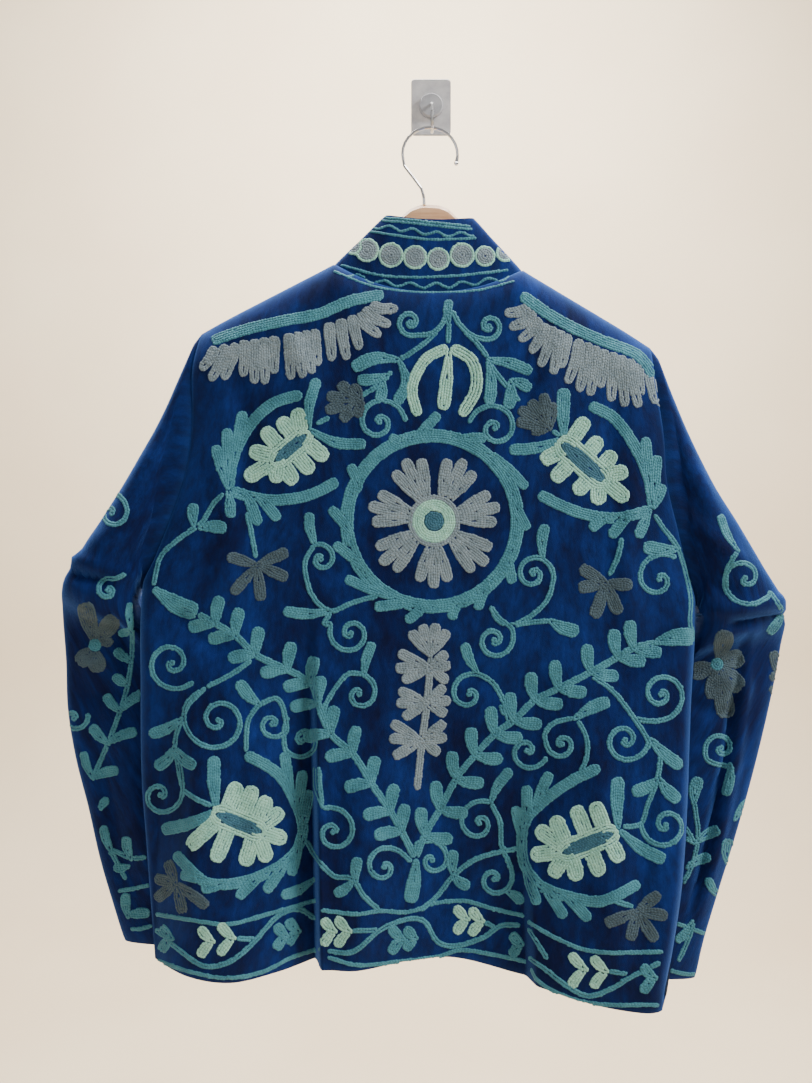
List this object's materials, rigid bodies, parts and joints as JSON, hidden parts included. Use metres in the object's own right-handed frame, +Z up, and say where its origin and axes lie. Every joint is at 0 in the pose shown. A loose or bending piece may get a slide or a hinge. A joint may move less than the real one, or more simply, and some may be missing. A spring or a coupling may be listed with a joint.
{
  "type": "embroidered velvet jacket on a hanger and wall hook",
  "caption": "Hip-length velvet jacket with stand collar and chain-stitch flowers, hung back outwards on a wooden hanger from a wall hook.",
  "frame": {"origin": "centre of the wall plate's back face, on the wall", "axes": "+Z up, +Y into the wall, +X to the wearer's right (the back faces -Y)"},
  "size_m": [0.7537, 0.1094, 0.9597],
  "materials": {
    "velvet": "deep blue cotton velvet with a short nap and a paler sheen at grazing angles",
    "thread_teal": "matt cotton chain stitch",
    "thread_grey": "matt cotton chain stitch",
    "thread_slate": "matt cotton chain stitch",
    "thread_mint": "matt cotton chain stitch",
    "wood": "clear lacquer",
    "chrome": "polished wire",
    "steel": "satin",
    "clear_plastic": "clear, slightly grey"
  },
  "bodies": {
    "root": {"back_panel": "velvet", "left_front_panel": "velvet", "right_front_panel": "velvet", "left_sleeve": "velvet", "right_sleeve": "velvet", "collar": "velvet", "hanger_body": "wood", "hanger_hook": "chrome", "wall_plate": "clear_plastic", "hook_boss": "clear_plastic", "wall_hook": "steel"}
  },
  "joints": []
}
